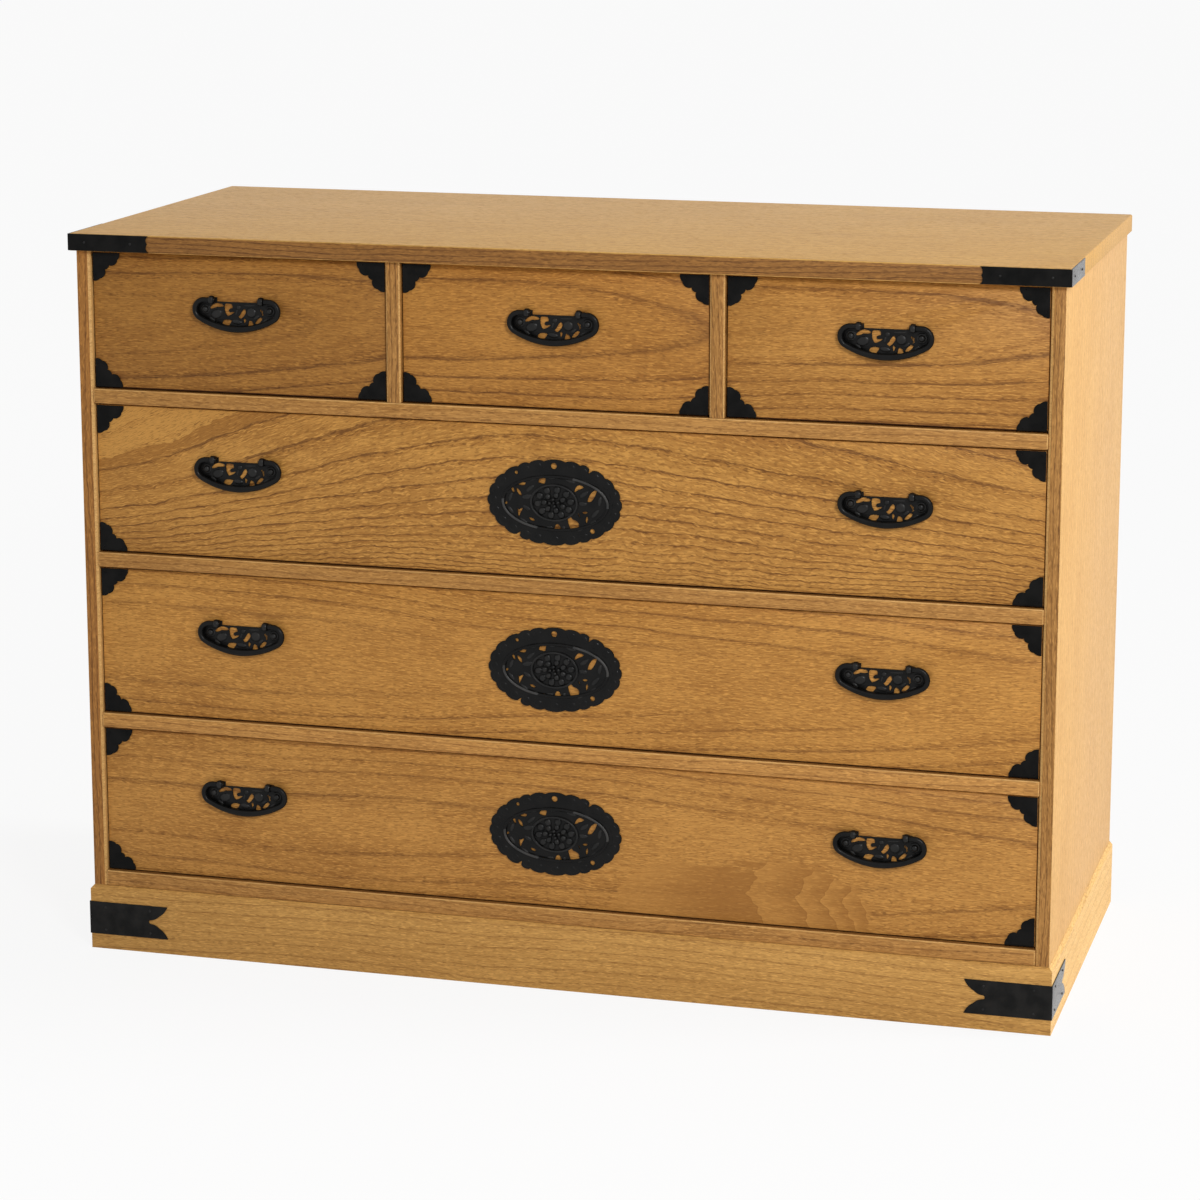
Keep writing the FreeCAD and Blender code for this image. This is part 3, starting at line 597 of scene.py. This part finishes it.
downwards = math.pi * 3 / 2
crescent = [(-21.6, -2.0, 0), (-21.6, 2.2, 0), (-30.4, 2.2, 0)]
crescent += along_arc(-curl_place, -curl_radius, curl_radius, math.pi / 2, downwards - low_turn, 5)
crescent += along_arc(0, low_centre, low_centre + drop, downwards - low_turn, downwards + low_turn, 8)
crescent += along_arc(curl_place, -curl_radius, curl_radius, low_turn - math.pi / 2, math.pi / 2, 5)
crescent += [(34, 0, 0), (30.4, 2.2, 0), (21.6, 2.2, 0), (21.6, -2.0, 0)]
handle_openings = [
    [(-29.8, -9.3, 0.6), (-22.1, -7.2, 0.5), (-14.4, -6.4, 0.8), (-18.2, -3.9, 0.7), (-23.6, -4.1, 0.8)],
    [
        (-12.8, -3.8, 0.6), (-13.7, -8.6, 0.9), (-10.9, -15.9, 0.6), (-3.2, -11.7, 0.3),
        (-7.3, -12.3, -0.9), (-9.4, -9.6, -0.5), (-5.5, -8.2, 0.6), (-6.3, -4.0, 0.3),
    ],
    [(0.4, -16.3, 0.3), (3.1, -18.5, 0.6), (8.8, -11.7, 0.5), (7.1, -8.3, 0.3), (3.6, -12.4, -0.5)],
    [(23.3, -9.2, 0.5), (24.1, -5.6, 0.6), (26.9, -10.3, 0.8), (27.7, -13.8, 0.6), (25.4, -15.6, 0.6)],
    [(-16.5, -23.7, 0.6), (-9.5, -25.1, 0.2), (-6.2, -20.3, 0.5), (-13.7, -19.9, 0.6)],
    [(6.6, -17.5, 0.5), (6.8, -23.1, 0.3), (8.7, -19.5, 0.3)],
    [(10.7, -25.1, 0.2), (16.6, -24.7, 0.3), (15.5, -20.9, 0.2), (12.3, -19.5, 0.3)],
    [(18.0, -22.7, 0.5), (22.0, -21.9, 0.5), (26.0, -17.3, 0.5), (23.4, -16.5, 0.6)],
]
handle_thickness, relief_back = 0.0016, 0.0015
pieces = [cut_sheet([crescent] + handle_openings, handle_thickness, 0.0003, 4)]
blacken(pieces[0], 1, rubbed_and_highlight_iron)
for across, up, length, width, rise, degrees in (
    (-22.5, -14.6, 6.4, 4.6, 1.3, 24), (14.4, -11.8, 5.2, 5.0, 1.5, 0), (-1.0, -21.6, 5.4, 2.6, 1.1, -8),
    (19.8, -16.6, 3.4, 1.6, 0.8, 40), (-27.0, -19.8, 3.6, 1.5, 0.7, -38), (1.2, -7.0, 2.6, 2.2, 1.1, 0),
    (12.6, -4.9, 6.6, 0.9, 0.6, 2), (-1.2, -12.2, 1.1, 3.0, 0.8, -14), (29.0, -19.4, 3.2, 1.3, 0.7, 38),
):
    relief = dome(length / 1000, width / 1000, rise / 1000)
    blacken(relief, rise / 2000, rubbed_and_highlight_iron)
    place = (across / 1000, -relief_back, up / 1000)
    pieces.append(placed_copy(relief, place, math.radians(degrees)))
    bpy.data.objects.remove(relief)
for side in (-1, 1):
    for radius, rise in ((5.6, 0.9), (3.7, 3.4)):
        boss = dome(radius / 1000, radius / 1000, rise / 1000, 20)
        blacken(boss, rise / 1500, rubbed_and_highlight_iron)
        place = (side * curl_place / 1000, -relief_back, -curl_radius / 1000)
        pieces.append(placed_copy(boss, place))
        bpy.data.objects.remove(boss)
    bpy.ops.object.select_all(action="DESELECT")
    bpy.ops.mesh.primitive_torus_add(
        major_segments=28, minor_segments=12, rotation=(0, math.pi / 2, 0),
        major_radius=(eye_radius + eye_bore) / 2000, minor_radius=(eye_radius - eye_bore) / 2000,
    )
    eye = bpy.context.object
    bpy.ops.object.transform_apply(location=True, rotation=True, scale=True)
    bpy.ops.object.mode_set(mode="EDIT")
    bpy.ops.mesh.select_all(action="SELECT")
    bpy.ops.transform.resize(value=(2.9, 1, 1), center_override=(0, 0, 0))
    bpy.ops.transform.translate(value=(side * eye_place / 1000, -standoff, 0))
    bpy.ops.object.mode_set(mode="OBJECT")
    bpy.ops.object.shade_smooth()
    blacken(eye, standoff + eye_radius * 0.0006, rubbed_and_highlight_iron)
    pieces.append(eye)
handle_plate = join("handle_plate", pieces)


# Bails: forged round bars, thicker in the middle, whose ends curl up and turn inwards
# through the eyes, so that each bail swings on its own drawer front.
bar_radius, middle_radius, journal_end = 0.0026, 0.0034, 0.0224
bpy.ops.object.select_all(action="DESELECT")
bpy.ops.mesh.primitive_circle_add(
    vertices=20, radius=bar_radius * 0.7, fill_type="NGON",
    location=(journal_end, 0, 0), rotation=(0, math.pi / 2, 0),
)
bail = bpy.context.object
bpy.ops.object.transform_apply(location=True, rotation=True, scale=True)
bpy.ops.object.mode_set(mode="EDIT")
bpy.ops.mesh.select_all(action="SELECT")
bpy.ops.mesh.extrude_region_move(TRANSFORM_OT_translate={"value": (0.0008, 0, 0)})
bpy.ops.transform.resize(value=(1, 1 / 0.7, 1 / 0.7), center_override=(journal_end + 0.0008, 0, 0))
bpy.ops.mesh.extrude_region_move(
    TRANSFORM_OT_translate={"value": (curl_place / 1000 - journal_end - 0.0008, 0, 0)}
)
bpy.ops.mesh.spin(
    steps=18, angle=math.pi - low_turn, center=(curl_place / 1000, 0, -curl_radius / 1000), axis=(0, -1, 0)
)
steps = 10
ratio = (middle_radius / bar_radius) ** (1 / steps)
for step in range(1, steps + 1):
    bpy.ops.mesh.spin(steps=1, angle=low_turn / steps, center=(0, 0, low_centre / 1000), axis=(0, -1, 0))
    turn = low_turn * (1 - step / steps)
    reach = (low_centre + drop) / 1000
    middle = (reach * math.sin(turn), 0, low_centre / 1000 - reach * math.cos(turn))
    bpy.ops.transform.resize(value=(ratio, ratio, ratio), center_override=middle)
bpy.ops.mesh.delete(type="ONLY_FACE")
bpy.ops.object.mode_set(mode="OBJECT")
mirror = bail.modifiers.new("Other half", "MIRROR")
mirror.merge_threshold = 0.00002
bpy.ops.object.modifier_apply(modifier=mirror.name)
bpy.ops.object.mode_set(mode="EDIT")
bpy.ops.mesh.select_all(action="SELECT")
bpy.ops.mesh.remove_doubles(threshold=0.00001)
bpy.ops.mesh.normals_make_consistent(inside=False)
bpy.ops.object.mode_set(mode="OBJECT")
bpy.ops.object.shade_smooth_by_angle(angle=math.radians(50))
bail.data.materials.append(black_iron)
for drawer in drawer_figures:
    plates = []
    for joint in frame["record"]["behaviour"]["joints"]:
        if joint["parent"] == drawer:
            x, y, z = joint["pos_m"]
            plates.append(placed_copy(handle_plate, (x, y + standoff, z)))
            hung = placed_copy(bail, (x, y, z))
            hung.name = joint["child"] + "_finished"
            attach(hung, joint["child"])
            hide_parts(joint["child"])
    plates = join(drawer + "_handle_plates_finished", plates)
    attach(plates, drawer)
    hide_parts(drawer + "_handle_plates")
bpy.data.objects.remove(handle_plate)
bpy.data.objects.remove(bail)


# Oval plates in the middle of the wide drawers: pierced sheet iron with a lobed rim, two thin
# raised lines, low leaves and a chased blossom in the middle. They lie flat on the wood.
# Pale, glossy iron for the outer raised line: a painted highlight.
bead_highlight_iron = iron("BrightIron", 0.021, 0.22, 0.3)
half_width, half_height, lobe_depth, notch_depth = 68.3, 42.8, 1.9, 4.4
oval_thickness, petal_back = 0.002, 0.0019


def oval(turns, across, up, inset=0.0, notches=()):
    """A closed oval of arcs between angles in degrees. The arcs meet further in by the
    inset, and a notch is cut deeper where two of them meet."""
    ends = []
    for turn in turns:
        for aside, depth in ((-1.6, 0), (0, notch_depth), (1.6, 0)) if turn in notches else ((0, 0),):
            angle = math.radians(turn + aside)
            reach = Vector((across - inset - depth, up - inset - depth))
            ends.append((angle, depth, Vector((reach.x * math.cos(angle), reach.y * math.sin(angle)))))
    points = []
    for number, (start, depth, corner) in enumerate(ends):
        stop, further, far_corner = ends[(number + 1) % len(ends)]
        middle = (start + (stop if stop > start else stop + 2 * math.pi)) / 2
        crest = Vector((across * math.cos(middle), up * math.sin(middle)))
        swell = 0 if depth or further else (crest - (corner + far_corner) / 2).length
        points.append((corner.x, corner.y, swell))
    return points


def leaf(across, up, length, width, degrees):
    """A pointed opening with two swelling sides."""
    reach = Vector((length / 2, 0)) @ Matrix.Rotation(-math.radians(degrees), 2)
    return [(across - reach.x, up - reach.y, width / 2), (across + reach.x, up + reach.y, width / 2)]


quarter = [8, 24, 40, 56.2, 67.2, 80.7]
half = quarter + [180 - turn for turn in reversed(quarter)]
cusps = half + [180 + turn for turn in half]
even = [15 * step for step in range(24)]
oval_openings = []
holes = ((-0.5, 36.2, 3.0), (-38.6, 28.0, 1.7), (38.6, -26.6, 2.4))
for x, z, radius in holes:
    ring = oval(even[::4], radius, radius)
    oval_openings.append([(x + across, z + up, swell) for across, up, swell in ring])
oval_openings += [
    [(-16.2, 19.4, 0.3), (-10.2, 18.2, 0.4), (-8.8, 22.7, 0.7), (-11.7, 25.0, 0.9), (-15.1, 22.5, 0.3)],
    leaf(6.8, 24.6, 7.0, 1.6, -4),
    [(-38.1, 17.2, 0.8), (-31.0, 15.8, 0.4), (-28.9, 18.5, 0.3), (-34.5, 18.3, 0.4)],
    leaf(-42.2, 10.8, 7.0, 2.6, 112), leaf(-36.0, 8.8, 9.2, 3.2, 124), leaf(-49.0, -2.6, 3.2, 2.4, 60),
    [(-37.4, -7.3, 0.2), (-36.5, -16.1, 0.2), (-33.9, -10.5, 0.3), (-32.3, -7.1, 0.4), (-35.7, -8.9, -0.3)],
    leaf(-22.8, -17.8, 6.8, 2.6, -22), leaf(-12.6, -25.2, 5.0, 1.0, 4),
    [(-0.2, -26.7, 0.3), (7.0, -26.5, 0.3), (4.5, -21.7, 0.3), (1.8, -21.5, 0.3)],
    [
        (13.2, -14.1, 0.6), (16.1, -25.3, 0.4), (24.0, -24.6, 0.7),
        (24.6, -19.5, 0.8), (18.8, -15.9, 0.2), (16.1, -13.2, 0.4),
    ],
    leaf(31.0, -8.4, 5.4, 2.4, 8), leaf(32.8, -15.4, 7.0, 2.2, 84), leaf(25.0, -11.4, 4.6, 1.0, -58),
    [(20.1, 11.6, 0.3), (24.3, 14.0, 0.4), (29.9, 16.6, 0.6), (25.0, 18.6, 1.1)],
    [(33.4, 2.6, 0.6), (37.6, 3.3, 0.8), (43.3, 14.4, 0.4), (38.3, 12.4, 0.8)],
]
rim = oval(cusps, half_width, half_height, lobe_depth, (56.2, 236.2))
pieces = [cut_sheet([rim] + oval_openings, oval_thickness, 0.0004, 5)]
blacken(pieces[0], 1, rubbed_and_highlight_iron)
bead_thickness, bead_back, bead_crown = 0.0024, 0.0016, 0.0019
for x, z, across, up, width in ((1.2, -0.5, 54.6, 27.8, 2.7), (0, 0, 24.3, 18.6, 2.0)):
    lines = [oval(even, across, up), oval(even, across - width, up - width)]
    bead = cut_sheet(lines, bead_thickness, width / 2500, 3)
    outer = across > half_width / 2
    blacken(bead, bead_crown, bead_highlight_iron if outer else rubbed_and_highlight_iron)
    # The outer line stays pale only on its upper right and lower left arcs, as a painted highlight where
    # light from the upper right catches it; elsewhere it is black.
    for polygon in bead.data.polygons:
        turn = math.degrees(math.atan2(polygon.center.z * across / up, polygon.center.x)) % 180
        if outer and 68 < turn < 174:
            polygon.material_index = 0
    pieces.append(placed_copy(bead, (x / 1000, -bead_back, z / 1000)))
    bpy.data.objects.remove(bead)
rim_dome = dome(0.0036, 0.0042, 0.0007)
blacken(rim_dome, 0.0005, black_iron)
for start, stop in zip(cusps, cusps[1:] + [cusps[0] + 360]):
    middle = math.radians((start + stop) / 2)
    spot = Vector((62.0 * math.cos(middle), 36.6 * math.sin(middle)))
    if min((spot - Vector(hole[:2])).length for hole in holes) > 7:
        turn = math.atan2(spot.y * 2.2, spot.x)
        pieces.append(placed_copy(rim_dome, (spot.x / 1000, -petal_back, spot.y / 1000), turn))
bpy.data.objects.remove(rim_dome)
for count, radius, length, width, rise, offset in (
    (10, 14.6, 4.6, 3.6, 1.9, 0.2), (7, 8.6, 3.8, 3.0, 2.8, 0.5),
    (4, 3.8, 2.2, 2.0, 3.3, 0.1), (1, 0, 1.7, 1.7, 3.7, 0),
):
    petal = dome(length / 1000, width / 1000, rise / 1000)
    blacken(petal, rise / 1400, rubbed_and_highlight_iron)
    for number in range(count):
        turn = 2 * math.pi * (number + offset) / count
        spot = Vector((1.15 * radius * math.cos(turn), 0.88 * radius * math.sin(turn)))
        pieces.append(placed_copy(petal, (spot.x / 1000, -petal_back, spot.y / 1000), turn))
    bpy.data.objects.remove(petal)
for across, up, length, width, rise, degrees in (
    (-27.4, 4.6, 5.6, 2.6, 1.1, 10), (-44.6, 3.6, 4.6, 1.9, 0.9, 70), (-28.0, -6.4, 4.6, 1.8, 0.9, -30),
    (-44.4, -9.6, 4.8, 1.9, 0.9, -52), (-24.6, 12.8, 5.0, 2.0, 1.0, 40), (-21.8, 22.6, 5.0, 1.6, 0.9, 12),
    (-2.4, 24.4, 3.6, 1.5, 0.9, 0), (16.6, 22.2, 5.4, 1.7, 1.0, -14), (30.0, 9.6, 5.4, 2.1, 1.0, 34),
    (33.6, 20.6, 4.6, 1.6, 0.9, -30), (46.2, 3.6, 5.0, 2.0, 1.0, 80), (28.6, 0.4, 5.0, 2.2, 1.1, -6),
    (41.6, -9.0, 5.6, 2.1, 1.0, 48), (26.4, -25.4, 3.6, 1.4, 0.8, 30), (-4.6, -24.6, 3.6, 1.6, 0.9, -6),
    (-31.2, -19.6, 4.8, 1.7, 0.9, -34), (-19.6, -24.4, 3.4, 1.3, 0.8, -12), (9.8, -24.8, 1.7, 2.6, 0.9, 10),
    (39.0, -18.0, 4.0, 1.5, 0.8, 40), (-48.0, 8.8, 2.2, 1.4, 0.8, 60),
):
    relief = dome(length / 1000, width / 1000, rise / 1000)
    blacken(relief, rise / 2000, rubbed_and_highlight_iron)
    place = (across / 1000, -petal_back, up / 1000)
    pieces.append(placed_copy(relief, place, math.radians(degrees)))
    bpy.data.objects.remove(relief)
oval_sheet = join("oval_sheet", pieces)
for drawer in drawer_figures:
    if drawer + "_oval_plate" in frame["nodes"]:
        low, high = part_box(drawer + "_oval_plate")
        plate = placed_copy(oval_sheet, ((low.x + high.x) / 2, high.y, (low.z + high.z) / 2))
        plate.name = drawer + "_oval_plate_finished"
        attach(plate, drawer)
        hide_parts(drawer + "_oval_plate")
bpy.data.objects.remove(oval_sheet)


# Stage: a plain pale floor that runs out of sight, lit softly from the right and above, and
# a camera that looks at the front from a little to the right and from above.
def seen_rays(wire):
    """1 where the camera, a reflection or a see-through surface looks straight at it."""
    rays = wire.tree.nodes.new("ShaderNodeLightPath")
    names = ("Is Camera Ray", "Is Glossy Ray", "Is Transmission Ray")
    camera_ray, glossy_ray, through_ray = (Wire(wire.tree, rays.outputs[name]) for name in names)
    return wire.maths("MINIMUM", camera_ray + glossy_ray + through_ray, 1.0)


floor_material, wire = new_material("PaleFloor")
bpy.ops.mesh.primitive_plane_add(size=40, location=(0, 0, cad_low.z))
floor = bpy.context.object
floor.name = "floor"
plain = wire.node("ShaderNodeBsdfDiffuse", {}, {"Color": (0.82, 0.82, 0.82, 1)})
glow = wire.node("ShaderNodeEmission", {}, {"Color": (1, 1, 1, 1), "Strength": 1.0})
mixed = wire.node("ShaderNodeMixShader", {}, {0: seen_rays(wire) * 0.88, 1: plain, 2: glow})
wire.node("ShaderNodeOutputMaterial", {}, {"Surface": mixed})
floor.data.materials.append(floor_material)
floor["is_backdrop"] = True

world = bpy.data.worlds.new("Studio")
bpy.context.scene.world = world
world.use_nodes = True
world.node_tree.nodes.clear()
sky = Wire(world.node_tree)
seen = seen_rays(sky)
ambient = sky.node("ShaderNodeBackground", {}, {"Color": (1, 1, 1, 1), "Strength": 0.45})
backdrop = sky.node("ShaderNodeBackground", {}, {"Color": (1, 1, 1, 1), "Strength": 1.0})
both = sky.node("ShaderNodeMixShader", {}, {0: seen, 1: ambient, 2: backdrop})
sky.node("ShaderNodeOutputWorld", {}, {"Surface": both})

lamp_data = bpy.data.lights.new("soft_box", "AREA")
lamp_data.energy = 52
lamp_data.size = 0.6
lamp = bpy.data.objects.new("soft_box", lamp_data)
bpy.context.scene.collection.objects.link(lamp)
lamp.location = (1.7, -2.7, 2.0)
lamp.rotation_euler = (Vector(lamp.location) - Vector((0, 0, 0.4))).to_track_quat("Z", "Y").to_euler()
lamp_data = bpy.data.lights.new("right_window", "SUN")
lamp_data.energy = 2.3
lamp_data.angle = math.radians(24)
lamp = bpy.data.objects.new("right_window", lamp_data)
bpy.context.scene.collection.objects.link(lamp)
lamp.rotation_euler = Vector((0.9, 0.22, 0.36)).to_track_quat("Z", "Y").to_euler()

camera_data = bpy.data.cameras.new("camera")
camera_data.sensor_width = 36
camera_data.lens = 106.56
camera_data.shift_y = -0.08
camera = bpy.data.objects.new("camera", camera_data)
bpy.context.scene.collection.objects.link(camera)
turn, fall = math.radians(15.571), math.radians(11.427)
camera.location = (0.954, -3.468, 1.181)
camera.rotation_euler = (math.pi / 2 - fall, 0, turn)
bpy.context.scene.camera = camera
bpy.context.scene.view_settings.view_transform = "Standard"

low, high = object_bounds()
